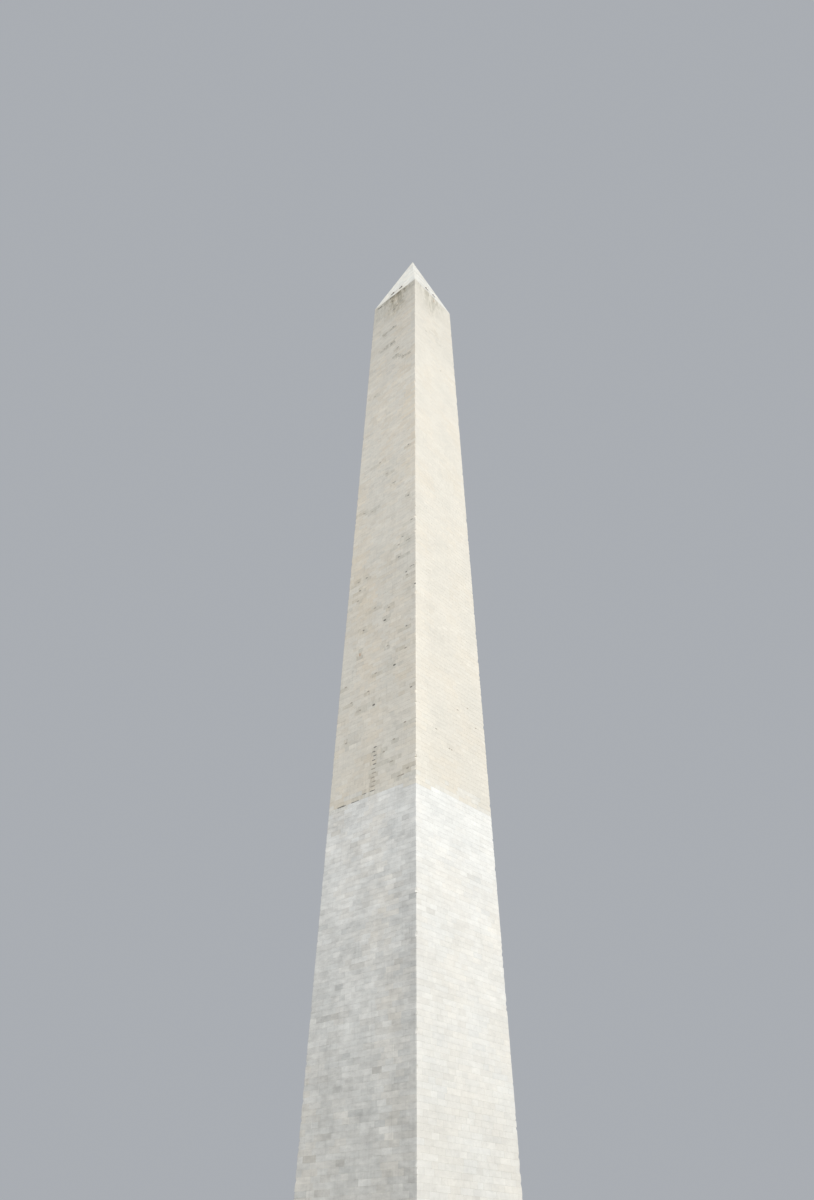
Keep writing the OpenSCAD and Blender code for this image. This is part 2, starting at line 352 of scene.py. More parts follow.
def reveal_painted_shade():
    """A near-black, dull sheet on the sides of an opening: painted shade of the recess."""
    k = Nodes("window_reveal_painted_shade")
    n = k.noise(k.where(), 140.0, 4.0, 0.6)
    k.link(k.ramp(n, [(0.35, (0.014, 0.014, 0.015)), (0.65, (0.034, 0.032, 0.030))]), k.bsdf.inputs["Base Color"])
    k.bsdf.inputs["Roughness"].default_value = 0.9
    k.bsdf.inputs["Specular IOR Level"].default_value = 0.08
    k.bump(n, 0.2, 0.0004)
    return k.mat


def glass():
    """Thick glass painted near-black, a painted shade of the dark room behind it, with a film of dust, heavier in some
    places.
    """
    k = Nodes("window_glass")
    b = k.bsdf.inputs
    n = k.noise(k.where(), 34.0, 4.0, 0.6)
    k.link(k.ramp(n, [(0.35, (0.020, 0.027, 0.031)), (0.70, (0.050, 0.056, 0.058))]), b["Base Color"])
    k.link(k.math("MULTIPLY_ADD", n, 0.22, 0.10), b["Roughness"])
    b["IOR"].default_value = 1.45
    b["Transmission Weight"].default_value = 0.20
    b["Specular IOR Level"].default_value = 0.12
    return k.mat


def lamp_glass():
    k = Nodes("lamp_red_lens")
    n = k.noise(k.where(), 200.0, 2.0)
    k.link(k.ramp(n, [(0.3, (0.30, 0.012, 0.008)), (0.7, (0.50, 0.03, 0.02))]), k.bsdf.inputs["Base Color"])
    k.bsdf.inputs["Roughness"].default_value = 0.12
    k.bsdf.inputs["Coat Weight"].default_value = 0.5
    return k.mat


def tip_metal():
    k = Nodes("aluminium_tip")
    p = k.where()
    n = k.noise(k.vec("MULTIPLY", p, (1.0, 1.0, 4.0)), 220.0, 3.0)
    k.link(k.ramp(n, [(0.3, (0.60, 0.61, 0.62)), (0.7, (0.78, 0.79, 0.80))]), k.bsdf.inputs["Base Color"])
    k.bsdf.inputs["Metallic"].default_value = 1.0
    k.link(k.math("MULTIPLY_ADD", n, 0.25, 0.22), k.bsdf.inputs["Roughness"])
    return k.mat


COURSE = SHAFT_H / 250
MARBLE_LOW = (0.850, 0.840, 0.792)
MARBLE_BAND = (0.826, 0.794, 0.712)
MARBLE_HIGH = (0.826, 0.780, 0.680)
MARBLE_SLAB = (0.815, 0.800, 0.735)

MARBLE, MORTAR, BACKING = marble(), mortar(), backing()
FLAGS, PAINT = floor_stone(), frame_paint()
REPAIR = patch("old_cement", (0.33, 0.285, 0.225), (0.56, 0.505, 0.42))
CRUST_MAT = patch("soot_crust", (0.085, 0.080, 0.068), (0.26, 0.25, 0.215))
RUST_MAT = patch("rust_stain", (0.42, 0.20, 0.10), (0.66, 0.42, 0.25))
GLASS, LENS, TIP, REVEAL_PAINTED_SHADE = glass(), lamp_glass(), tip_metal(), reveal_painted_shade()

# ------------------------------------------------------------------ masonry


def turn(side, a, b):
    """A point a along the wall and b outwards, as x and y. South looks along -Y, and a then runs along +X."""
    return {"south": (a, -b), "east": (b, a), "north": (-a, b), "west": (-b, -a)}[side]


class Mesh:
    """Points that are shared, faces with a material, the stone's tone and where the face lies on its sheet."""

    def __init__(self, side):
        self.side, self.pts, self.index, self.faces, self.mats, self.tone, self.uv = side, [], {}, [], [], [], []

    def at(self, a, b, z):
        x, y = turn(self.side, a, b)
        key = (round(x * 2e5), round(y * 2e5), round(z * 2e5))
        i = self.index.get(key)
        if i is None:
            i = self.index[key] = len(self.pts)
            self.pts.append((x, y, z))
        return i

    def face(self, corners, mat, tone, flip=False, sheet=0):
        """corners are (a, b, z)."""
        ids, uv = [], []
        for a, b, z in corners:
            i = self.at(a, b, z)
            if i not in ids:
                ids.append(i)
                uv.append((a, b, z))
        if len(ids) < 3:
            return
        if flip:
            ids.reverse()
            uv.reverse()
        self.faces.append(ids)
        self.mats.append(mat)
        self.tone.append(tone)
        self.uv.append((sheet, uv))

    def strip(self, low, high, mat, tone, flip=False, sheet=0, along=0):
        """Fills the space between two rows of points that run the same way, without a loose point on either."""
        i = j = 0
        while i < len(low) - 1 or j < len(high) - 1:
            take_low = j == len(high) - 1 or (
                i < len(low) - 1 and low[i + 1][along] + low[i][along] <= high[j + 1][along] + high[j][along]
            )
            if take_low:
                self.face([low[i], low[i + 1], high[j]], mat, tone, flip, sheet)
                i += 1
            else:
                self.face([low[i], high[j + 1], high[j]], mat, tone, flip, sheet)
                j += 1

    def make(self, name, materials, rects):
        me = bpy.data.meshes.new(name)
        me.from_pydata(self.pts, [], self.faces)
        for m in materials:
            me.materials.append(m)
        me.polygons.foreach_set("material_index", self.mats)
        stone = me.attributes.new("stone", "FLOAT_COLOR", "FACE")
        stone.data.foreach_set("color", [x for t in self.tone for x in t[:4]])
        zone = me.attributes.new("zone", "FLOAT", "FACE")
        zone.data.foreach_set("value", [t[4] for t in self.tone])
        grime = me.attributes.new("grime", "FLOAT", "FACE")
        grime.data.foreach_set("value", [GRIME[self.side]] * len(self.tone))
        if rects:
            layer = me.uv_layers.new(name="OFBake")
            flat = []
            for (sheet, pts), poly in zip(self.uv, me.polygons):
                flat += [c for p in pts for c in rects[sheet](p)]
            layer.data.foreach_set("uv", flat)
        me.update()
        bm = bmesh.new()
        bm.from_mesh(me)
        bmesh.ops.recalc_face_normals(bm, faces=bm.faces)
        bm.to_mesh(me)
        bm.free()
        ob = bpy.data.objects.new(name, me)
        bpy.context.collection.objects.link(ob)
        return ob


def chip(corner, course, k):
    """How far the arris of the shaft is worn back at one height of one corner."""
    r = rnd(corner, course, k, 71)
    worn = 0.0011 + 0.0012 * rnd(corner, course, k, 72)
    if r > 0.93:
        worn += 0.0040 + 0.0090 * rnd(corner, course, k, 73)
    elif r > 0.70:
        worn += 0.0034 * rnd(corner, course, k, 74)
    return worn


def cuts(rng, low, high, short, long, first, last, before, keep=0.022):
    """Places of the upright joints of a course between its two ends, clear of those in the course below."""
    for _ in range(40):
        out = [low + first]
        while high - last - out[-1] > long * 1.02:
            out.append(out[-1] + rng.uniform(short, long))
        rest = high - last - out[-1]
        if rest > short * 0.8:
            out.append(high - last)
        elif rest > 0.0 and len(out) > 1:
            out[-1] = high - last
        elif rest != 0.0 and len(out) == 1:
            out.append(high - last)
        if not any(abs(a - b) < keep for a in out for b in before):
            break
    return out


def sheet(m, zs, radius, joints, ends, tones, inner, base_mat, course0, chips=True):
    """One skin of a wall: stones with bevelled edges, and mortar lying back between them. It returns the two upright
    edges as lists of points, which the ends of the wall are closed with. ends are "mitre" or the place of a jamb."""
    s = -1.0 if inner else 1.0
    edges = ([], [])
    corner_ids = {"south": (0, 1), "east": (1, 2), "north": (2, 3), "west": (3, 0)}[m.side]

    def out(z, depth):
        return radius(z) - s * depth

    def end_a(which, z, depth):
        e = ends[which]
        if e == "mitre":
            return (-1 if which == 0 else 1) * out(z, depth)
        return e

    def pt(a, z, depth):
        return (a, out(z, depth), z)

    def end_pt(which, z, depth):
        return pt(end_a(which, z, depth), z, depth)

    def col_a(which, z):
        e = ends[which]
        w = CORNER if which == 0 else -CORNER
        if e == "mitre":
            return (-1 if which == 0 else 1) * radius(z) + w
        return e + w

    below = [end_pt(0, zs[0], DEEP), end_pt(1, zs[0], DEEP)]
    for w in (0, 1):
        edges[w].append(end_pt(w, zs[0], DEEP))
    sh = 1 if inner else 0
    for i in range(len(zs) - 1):
        c = course0 + i
        z0, z1 = zs[i] + GAP / 2, zs[i + 1] - GAP / 2
        f0, f1 = z0 + BEV, z1 - BEV
        fm = (f0 + f1) / 2 + (f1 - f0) * 0.25 * (rnd(c, 5) - 0.5)
        js = joints[i]
        n = len(js) + 1
        low_row, high_row = [], []
        for b in range(n):
            tone = tones(c, b, n, (js[b - 1] if b else end_a(0, z0, 0)), (js[b] if b < n - 1 else end_a(1, z0, 0)), (z0 + z1) / 2)
            off = 0.0005 * (rnd(c, b, 9 + sh) - 0.3)
            left, right = b == 0, b == n - 1
            # feet, at the mortar's depth
            a0, a1 = (None if left else js[b - 1] + GAP / 2), (None if right else js[b] - GAP / 2)
            foot = {}
            for z in (z0, z1):
                foot[0, z] = end_pt(0, z, DEEP) if left else pt(a0, z, DEEP)
                foot[1, z] = end_pt(1, z, DEEP) if right else pt(a1, z, DEEP)
            # the face, which at an end of the wall stops short of the arris
            face = {}
            for z in (f0, fm, f1):
                face[0, z] = pt(col_a(0, z), z, off) if left else pt(a0 + BEV, z, off)
                face[1, z] = pt(col_a(1, z), z, off) if right else pt(a1 - BEV, z, off)
            ring = [face[0, f0], face[1, f0]]
            if right:
                ring.append(face[1, fm])
            ring += [face[1, f1], face[0, f1]]
            if left:
                ring.append(face[0, fm])
            m.face(ring, base_mat, tone, inner, sh)
            m.face([foot[0, z0], foot[1, z0], face[1, f0], face[0, f0]], base_mat, tone, inner, sh)
            m.face([face[0, f1], face[1, f1], foot[1, z1], foot[0, z1]], base_mat, tone, inner, sh)
            for w, here in ((0, left), (1, right)):
                if not here:
                    quad = [foot[w, z0], face[w, f0], face[w, f1], foot[w, z1]]
                    m.face(quad, base_mat, tone, inner != (w == 1), sh)
                    continue
                tip = {}
                for q, z in enumerate((f0, fm, f1)):
                    if inner:
                        d = off
                    elif ends[w] == "mitre":
                        d = chip(corner_ids[w], c, q) if chips else 0.0006 + 0.0006 * rnd(corner_ids[w], c, q)
                    else:
                        d = 0.0012 + 0.0008 * rnd(c, q, 3)
                    tip[z] = end_pt(w, z, d)
                fl = inner != (w == 0)
                m.face([face[w, f0], tip[f0], tip[fm], face[w, fm]], base_mat, tone, fl, sh)
                m.face([face[w, fm], tip[fm], tip[f1], face[w, f1]], base_mat, tone, fl, sh)
                m.face([foot[w, z0], tip[f0], face[w, f0]], base_mat, tone, fl, sh)
                m.face([face[w, f1], tip[f1], foot[w, z1]], base_mat, tone, fl, sh)
                edges[w].extend([foot[w, z0], tip[f0], tip[fm], tip[f1], foot[w, z1]])
            low_row += [foot[0, z0], foot[1, z0]]
            high_row += [foot[0, z1], foot[1, z1]]
            if not right:
                m.face(
                    [foot[1, z0], pt(js[b] + GAP / 2, z0, DEEP), pt(js[b] + GAP / 2, z1, DEEP), foot[1, z1]],
                    1, (0.5, 0.5, 0.5, 0.0, 0.0), inner, sh,
                )
        m.strip(below, low_row, 1, (0.5, 0.5, 0.5, 0.0, 0.0), inner, sh)
        below = high_row
    top = [end_pt(0, zs[-1], DEEP), end_pt(1, zs[-1], DEEP)]
    m.strip(below, top, 1, (0.5, 0.5, 0.5, 0.0, 0.0), inner, sh)
    for w in (0, 1):
        edges[w].append(end_pt(w, zs[-1], DEEP))
    return edges


def jamb_side(m, out, inn, plain, flip, sheet_no):
    """The side of a doorway, with the stones of its courses and the mortar between them, flush."""
    mortar_tone = (0.5, 0.5, 0.5, 0.0, 0.0)
    below = [out[0], inn[0]]
    for i in range((len(out) - 2) // 5):
        o, n = out[1 + 5 * i: 6 + 5 * i], inn[1 + 5 * i: 6 + 5 * i]
        split = o[0][1] - (0.15 if i % 2 else 0.27) - 0.04 * rnd(i, sheet_no, 61)
        seam = [(o[0][0], b, z) for b in (split, split - GAP) for z in (o[0][2], o[4][2])]
        first, second = [(0.42 + 0.16 * rnd(i, sheet_no, q), 0.47 + 0.06 * rnd(i, sheet_no, q + 2)) for q in (62, 63)]
        m.face([o[0], *below[:1], *below[2:], below[1], n[0], seam[2], seam[0]], 1, mortar_tone, flip, sheet_no)
        m.face([*o, seam[1], seam[0]], 0, (*first, rnd(i, 64), *plain[3:]), flip, sheet_no)
        m.face(seam[:2] + seam[:1:-1], 1, mortar_tone, flip, sheet_no)
        m.face([seam[2], seam[3], *n[::-1]], 0, (*second, rnd(i, 65), *plain[3:]), flip, sheet_no)
        below = [o[4], n[4], seam[1], seam[3]]
    m.face([out[-1], *below[:1], *below[2:], below[1], inn[-1]], 1, mortar_tone, flip, sheet_no)


def wall(name, side, zs, outer_r, inner_r, joints, inner_joints, tones, inner_tones, course0, ends=("mitre", "mitre"),
         nodes=(), inner_mat=2, chips=True, end_tone=None):
    """A length of wall between two levels, closed on every side."""
    m = Mesh(side)
    out = sheet(m, zs, outer_r, joints, ends, tones, False, 0, course0, chips)
    inn = sheet(m, zs, inner_r, inner_joints, ends, inner_tones, True, inner_mat, course0, chips)
    plain = end_tone or (0.5, 0.5, 0.5, 0.0, 0.0)
    end_mat = 0 if end_tone else 2
    for w in (0, 1):
        if ends[w] == "mitre":
            m.strip(out[w], inn[w], end_mat, plain, w == 0, 2 + w, along=2)
        else:
            jamb_side(m, out[w], inn[w], plain, w == 0, 2 + w)
    for z_i, flip in ((0, False), (-1, True)):
        m.face([out[0][z_i], inn[0][z_i], inn[1][z_i], out[1][z_i]], end_mat, plain, flip, 4 + (z_i != 0))
    # where each skin goes on the baked image
    zlo, zhi = zs[0], zs[-1]
    ro, ri = max(outer_r(zlo), outer_r(zhi)) + 0.001, max(inner_r(zlo), inner_r(zhi)) + 0.004
    lo_a = -ro if ends[0] == "mitre" else ends[0]
    hi_a = ro if ends[1] == "mitre" else ends[1]
    lo_i = -ri if ends[0] == "mitre" else ends[0]
    hi_i = ri if ends[1] == "mitre" else ends[1]
    deep = ro

    def v(z):
        return 0.004 + 0.942 * (z - zlo) / (zhi - zlo)

    def b_of(b):
        lo_b = min(inner_r(zlo), inner_r(zhi))
        return (b - lo_b) / (ro - lo_b)

    rects = {
        0: lambda p: (0.004 + 0.690 * (p[0] - lo_a) / (hi_a - lo_a), v(p[2])),
        1: lambda p: (0.702 + 0.200 * (p[0] - lo_i) / (hi_i - lo_i), v(p[2])),
        2: lambda p: (0.908 + 0.040 * b_of(p[1]), v(p[2])),
        3: lambda p: (0.954 + 0.040 * b_of(p[1]), v(p[2])),
        4: lambda p: (0.004 + 0.490 * (p[0] - lo_a) / (hi_a - lo_a), 0.952 + 0.042 * b_of(p[1])),
        5: lambda p: (0.504 + 0.490 * (p[0] - lo_a) / (hi_a - lo_a), 0.952 + 0.042 * b_of(p[1])),
    }
    ob = m.make(name, [MARBLE, MORTAR, BACKING], rects)
    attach(ob, "root")
    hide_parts(*nodes)
    return ob


# levels of the beds: whole courses to the door's head, to the change of marble, and on to the top
def levels(a, b, n):
    return [a + (b - a) * i / n for i in range(n + 1)]


DOOR_COURSES, LOW_COURSES, UP_COURSES, TOP_COURSES = 8, 76, 150, 24
BEDS = (
    levels(0.0, DOOR_TOP, DOOR_COURSES)[:-1]
    + levels(DOOR_TOP, LOWER_H, LOW_COURSES - DOOR_COURSES)[:-1]
    + levels(LOWER_H, TOP_Z, UP_COURSES)[:-1]
    + levels(TOP_Z, SHAFT_H, TOP_COURSES)
)

SIDE_NO = {"south": 0, "east": 1, "north": 2, "west": 3}


def courses_of(side):
    """The upright joints of every course of one side, outside and inside."""
    k = SIDE_NO[side]
    rng = random.Random(1000 + k)
    out, inn = [], []
    before, before_in = [], []
    for c in range(len(BEDS) - 1):
        z = (BEDS[c] + BEDS[c + 1]) / 2
        r = shaft_r(z)
        headers = c % 2 == k % 2
        if c < LOW_COURSES:
            short, long = (0.085, 0.150) if headers else (0.120, 0.240)
        else:
            short, long = (0.075, 0.125) if headers else (0.120, 0.205)
        ends = [rng.uniform(0.16, 0.23) if (c + k) % 2 == 0 else rng.uniform(0.075, 0.115) for _ in (0, 1)]
        js = cuts(rng, -r, r, short, long, ends[0], ends[1], before)
        before = js
        out.append(js)
        ri = WELL_LO if c < LOW_COURSES else WELL_UP
        ji = cuts(rng, -ri, ri, 0.09, 0.19, rng.uniform(0.08, 0.16), rng.uniform(0.08, 0.16), before_in)
        before_in = ji
        inn.append(ji)
    return out, inn


# old patches and open joints
CEMENT, CRUST, RUST_SPOT = 0, 1, 2
# place along the wall and height, then width and height of the mark, in millimetres of the model, and what it is
MARKS = {
    "west": [
        (109, 7290, 62, 30, CRUST), (-302, 7310, 40, 20, CRUST), (324, 6440, 60, 30, CRUST), (-145, 6180, 36, 18, CEMENT),
        (-28, 5950, 60, 30, CRUST), (-20, 6430, 36, 18, CEMENT), (-302, 8280, 44, 18, CRUST), (-471, 8270, 40, 18, CEMENT),
        (-432, 8100, 36, 20, CRUST), (-457, 7900, 36, 18, CEMENT), (496, 8000, 40, 20, CRUST), (511, 7890, 36, 18, CEMENT),
        (669, 7680, 36, 26, CRUST), (340, 8330, 44, 18, CRUST), (330, 8570, 40, 18, CEMENT), (-349, 6900, 22, 60, RUST_SPOT),
        (521, 6660, 40, 20, CEMENT), (183, 6810, 36, 18, CEMENT), (524, 6970, 40, 20, CRUST), (-593, 6430, 36, 20, CEMENT),
        (-459, 6120, 36, 18, CEMENT), (636, 5990, 40, 22, CRUST), (177, 7480, 36, 18, CEMENT), (-98, 7620, 36, 18, CEMENT),
        (600, 8010, 90, 9, CRUST), (520, 8590, 110, 9, CRUST), (408, 8695, 50, 14, CRUST), (579, 8930, 60, 12, CRUST),
        (-152, 10620, 40, 20, CEMENT), (499, 9490, 44, 20, CRUST), (182, 9960, 120, 9, CRUST), (13, 10270, 40, 18, CEMENT),
        (-270, 9620, 40, 18, CEMENT), (-446, 9700, 36, 18, CEMENT), (470, 10620, 40, 20, CRUST),
        (15, 4695, 110, 12, CRUST), (-120, 4680, 90, 11, CRUST), (-300, 4640, 120, 12, CRUST), (-232, 4655, 60, 9, CRUST), (189, 5200, 36, 18, CEMENT), (358, 5270, 36, 18, CEMENT),
        (523, 4720, 44, 20, CEMENT), (602, 4810, 36, 20, CEMENT), (543, 5450, 36, 18, CEMENT), (-508, 5550, 36, 18, CEMENT),
        (-283, 5970, 36, 18, CEMENT), (-515, 4625, 175, 20, CRUST), (470, 4770, 70, 14, CEMENT), (330, 5000, 60, 14, CEMENT),
        (258, 15130, 60, 26, CRUST), (-382, 15140, 150, 30, CRUST), (115, 15125, 60, 24, CRUST), (-40, 15020, 70, 22, CRUST),
        (0, 14730, 90, 18, CRUST), (84, 14780, 60, 20, CRUST), (8, 14150, 60, 22, CRUST), (-217, 14130, 50, 18, CEMENT),
        (-16, 13690, 70, 20, CRUST), (40, 13670, 40, 18, CEMENT), (145, 13420, 50, 18, CRUST), (-196, 13680, 46, 18, CEMENT),
        (436, 13040, 70, 9, CRUST), (304, 13060, 80, 9, CRUST), (207, 13150, 70, 9, CRUST), (110, 13250, 70, 9, CRUST),
        (-368, 12460, 40, 18, CEMENT),
    ],
    "south": [
        (32, 15105, 34, 40, RUST_SPOT), (-330, 5450, 30, 16, CEMENT), (-73, 5310, 30, 16, CEMENT), (-25, 5270, 26, 16, CEMENT),
        (139, 5980, 30, 16, CEMENT), (362, 6070, 30, 16, CEMENT), (524, 5870, 30, 16, CEMENT), (-243, 13860, 34, 16, CEMENT),
        (133, 13060, 30, 16, CEMENT),
    ],
}
# the two sides that are alike wear in the same way, at other places
for side, like, many in (("north", "west", 52), ("east", "south", 14)):
    rng = random.Random(4000 + SIDE_NO[side])
    MARKS[side] = []
    for _ in range(many):
        _, _, w, h, what = MARKS[like][rng.randrange(len(MARKS[like]))]
        z = rng.choice((rng.uniform(4700, 9000), rng.uniform(4700, 15050), rng.uniform(13500, 15100)))
        MARKS[side].append((rng.uniform(-0.85, 0.85) * shaft_r(z / 1000) * 1000, z, w, h, what))
# a broken joint climbs the west side in steps, one a course, and grows fainter below
for i in range(10):
    MARKS["west"].append((26 + (10 if i % 2 else -10), 4727 + 61 * i, 66, 16, CRUST if i > 4 else CEMENT))
# the courses a mark touches, with its place along the wall
SPOILED = {}
for side in SIDES:
    for a, z, w, h, what in MARKS[side]:
        for c in range(len(BEDS) - 1):
            if BEDS[c] < (z + h) / 1000 and BEDS[c + 1] > (z - h) / 1000:
                SPOILED.setdefault((side, c), []).append(a / 1000)


FRONT_Y = {"west": 1.0, "south": -1.0}  # which way the front corner lies along each wall, as a sign on a


def stone_tone(side):
    """Tone, tint, own number, stain and kind of marble for one stone."""
    k = SIDE_NO[side]
    # painted light: the spread of stone tones on each side follows how brightly it is lit, flattest on the sunlit south
    stone_spread_sun_washed = STONE_SPREAD_SUN_WASHED[side]

    def tones(c, b, n, a0, a1, z):
        seed = (k, c, b)
        r1, r2, r3, r4 = rnd(*seed, 1), rnd(*seed, 2), rnd(*seed, 3), rnd(*seed, 4)
        a = (a0 + a1) / 2
        g = (r1 + r2 + rnd(*seed, 5)) / 3 - 0.5  # bell shaped
        drift = wave(a * 3.0, z * 1.6, 40 + k)
        corner = FRONT_Y.get(side)
        near_front = 0.0 if corner is None else smooth(0.45, 1.0, corner * a / shaft_r(z))
        zone = 0.0
        if c >= LOW_COURSES + 4 or (c >= LOW_COURSES and r4 > 0.35 + 0.12 * (LOW_COURSES + 1 - c)):
            zone = 0.7
        elif c >= LOW_COURSES:
            zone = 0.45
        # round the front corner the tan stone starts a course lower
        if c == LOW_COURSES - 1 and corner is not None and corner * a > shaft_r(z) - 0.26:
            zone = 0.7
        stain = 0.0
        if zone < 0.3:
            tone = g * 0.30 + drift * 0.04
            if r3 > 0.93:  # a few stones are much darker than the rest
                tone -= 0.08 + 0.12 * rnd(*seed, 7) ** 2
            elif r3 < 0.05:
                tone += 0.10
            tone = 0.5 + tone * stone_spread_sun_washed
            tint = 0.49 + ((r4 - 0.5) * 0.10 + 0.08 * drift) * stone_spread_sun_washed
            if side == "west":  # painted shade: darker towards the front corner low down, and a little darker all along the lower part
                tone -= 0.19 * near_front * (1 - smooth(3.4, 4.6, z)) + 0.05 * (1 - smooth(2.8, 3.8, z))
            if side == "south":
                tint += 0.06 * (1 - smooth(3.4, 4.2, z))
                tone += 0.05 * (1 - smooth(1.6, 2.8, z))
            if r3 > 0.93:
                tint += (0.02 if r4 > 0.4 else -0.04) * stone_spread_sun_washed
        else:
            tone = g * 0.20 + drift * 0.04
            if r3 > 0.955:
                tone -= 0.07
            elif r3 < 0.03:
                tone += 0.05
            tone = 0.5 + tone * stone_spread_sun_washed
            tint = (0.53 if side in ("west", "north") else 0.50) + ((r4 - 0.5) * 0.12 + 0.12 * drift) * stone_spread_sun_washed
            if side in ("west", "north"):  # best washed in the middle of its height
                tone += 0.11 * smooth(7.2, 10.0, z) * (1 - smooth(12.2, 13.2, z)) + 0.02 - 0.05 * smooth(13.2, 13.9, z)
            else:
                tone -= 0.06 * (1 - smooth(5.2, 7.5, z)) * (1 - near_front)
                tone += 0.05 * near_front * (1 - smooth(7.5, 9.5, z)) - 0.09 * smooth(13.0, 14.0, z)
            if side == "south" and 13.80 < z < 14.16 and a0 < 0.034 < a1:  # a grey run below an old leak
                stain = 0.10
        # rain brings dirt down from the foot of the pyramidion
        high = 0.62 * smooth(14.35, 14.85, z) + 0.38 * smooth(14.95, 15.19, z)
        if high > 0:  # most of it between and below the windows
            heavy = {"west": 1.0, "north": 0.85, "east": 0.60, "south": 0.62}[side]
            u = (a * (corner or 1.0) / shaft_r(z) - 0.10) / (0.26 + 0.22 * smooth(14.6, 15.15, z))
            run = (0.22 + 0.78 * math.exp(-u * u)) * (0.70 + 0.30 * rnd(k, int((a + 2) / 0.11), 31))
            stain = max(stain, high * heavy * run)
        for at in SPOILED.get((side, c), ()):  # the stones round an old patch are dirty too
            if a0 - 0.02 < at < a1 + 0.02:
                stain = max(stain, (0.16 + 0.10 * smooth(12.6, 13.2, z)) * GRIME[side] ** 2)
        return (min(1.0, max(0.0, tone)), min(1.0, max(0.0, tint)), rnd(*seed, 6), min(1.0, stain), zone)

    return tones


def inner_tone(side):
    k = SIDE_NO[side] + 10

    def tones(c, b, n, a0, a1, z):
        g = (rnd(k, c, b, 1) + rnd(k, c, b, 2)) / 2
        low = c < LOW_COURSES
        return ((0.30 + 0.40 * g) if low else (0.45 + 0.35 * g), 0.5, rnd(k, c, b, 3), 0.0, 0.0)

    return tones


def inner_marble(side):
    k = SIDE_NO[side] + 20

    def tones(c, b, n, a0, a1, z):
        g = (rnd(k, c, b, 1) + rnd(k, c, b, 2)) / 2
        return (0.36 + 0.24 * g, 0.5, rnd(k, c, b, 3), 0.0, 0.7)

    return tones


def well_lo(z):
    return WELL_LO


def well_up(z):
    return WELL_UP


# the lifts the shaft is laid in: first and last course, and the CAD walls they stand for
LOW_LIFTS = ((DOOR_COURSES, 42), (42, LOW_COURSES))
UP_LIFTS = ((76, 114), (114, 151), (151, 189), (189, 226))

pieces = []
for side in SIDES:
    outer, inside = courses_of(side)
    tones, itones = stone_tone(side), inner_tone(side)

    if side == "east":
        # the doorway's jambs cut the first courses, and one long lintel spans them
        for c in range(DOOR_COURSES):
            outer[c] = [a for a in outer[c] if abs(a) > DOOR_R + 0.05]
            inside[c] = [a for a in inside[c] if abs(a) > DOOR_R + 0.05]
        L = DOOR_COURSES
        span = 0.205
        outer[L] = [a for a in outer[L] if abs(a) > span + 0.05] + [-span, span]
        outer[L].sort()
        inside[L] = [a for a in inside[L] if abs(a) > span + 0.05] + [-span, span]
        inside[L].sort()
        zs = BEDS[: DOOR_COURSES + 1]
        jamb = (0.5, 0.5, 0.3, 0.0, 0.0)
        for name, ends, keep in (
            ("lower_wall_east_left", ("mitre", -DOOR_R), lambda a: a < 0),
            ("lower_wall_east_right", (DOOR_R, "mitre"), lambda a: a > 0),
        ):
            pieces.append(wall(
                f"courses_{name}", side, zs, shaft_r, well_lo,
                [[a for a in outer[c] if keep(a)] for c in range(DOOR_COURSES)],
                [[a for a in inside[c] if keep(a)] for c in range(DOOR_COURSES)],
                tones, itones, 0, ends, (name,), 2, True, jamb,
            ))
        lifts = [(DOOR_COURSES, 42, "lower_wall_over_doorway"), (42, LOW_COURSES, "lower_wall_over_doorway")]
    else:
        lifts = [(0, 38, f"lower_wall_{side}"), (38, LOW_COURSES, f"lower_wall_{side}")]
    for a, b, node in lifts:
        pieces.append(wall(
            f"courses_{a + 1}_to_{b}_{side}", side, BEDS[a: b + 1], shaft_r, well_lo, outer[a:b], inside[a:b],
            tones, itones, a, ("mitre", "mitre"), (node,), 2, True,
            (0.5, 0.5, 0.3, 0.0, 0.0) if node == "lower_wall_over_doorway" and a == DOOR_COURSES else None,
        ))
    for a, b in UP_LIFTS:
        pieces.append(wall(
            f"courses_{a + 1}_to_{b}_{side}", side, BEDS[a: b + 1], shaft_r, well_up, outer[a:b], inside[a:b],
            tones, itones, a, ("mitre", "mitre"), (f"upper_wall_{side}",),
        ))
    a, b = 226, 250
    pieces.append(wall(
        f"courses_{a + 1}_to_{b}_{side}", side, BEDS[a: b + 1], shaft_r, well_up, outer[a:b], inside[a:b],
        tones, inner_marble(side), a, ("mitre", "mitre"), (f"top_wall_{side}",), 0,
    ))

# ------------------------------------------------------------------ old cement patches and open joints on the stones

def plate(m, a, z, w, h, what, key):
    """A thin patch with a ragged outline and a bevelled edge, its back let into the stone."""
    n = 20
    ring = []
    for i in range(n):
        t = 2 * math.pi * i / n
        ca, sa = math.cos(t), math.sin(t)
        r = 0.66 + 0.34 * rnd(key, i, 7)
        ring.append((r * math.copysign(abs(ca) ** 0.75, ca) * w / 2, r * math.copysign(abs(sa) ** 0.75, sa) * h / 2))
    edge = min(0.0014, h * 0.12)
    tone = (0.5, 0.5, rnd(key, 8), 0.0, 0.0)

    def row(inset, proud):
        out = []
        for u, v in ring:
            d = math.hypot(u, v)
            f = 1.0 - inset / d
            zz = z + v * f
            out.append((a + u * f, shaft_r(zz) + proud, zz))
        return out

    back, rim, front = row(0.0, -0.0013), row(0.0, 0.0001), row(edge, 0.0004)
    m.face(front, what, tone)
    m.face(back[::-1], what, tone)
    for low, high in ((back, rim), (rim, front)):
        for i in range(n):
            j = (i + 1) % n
            m.face([low[i], low[j], high[j], high[i]], what, tone)


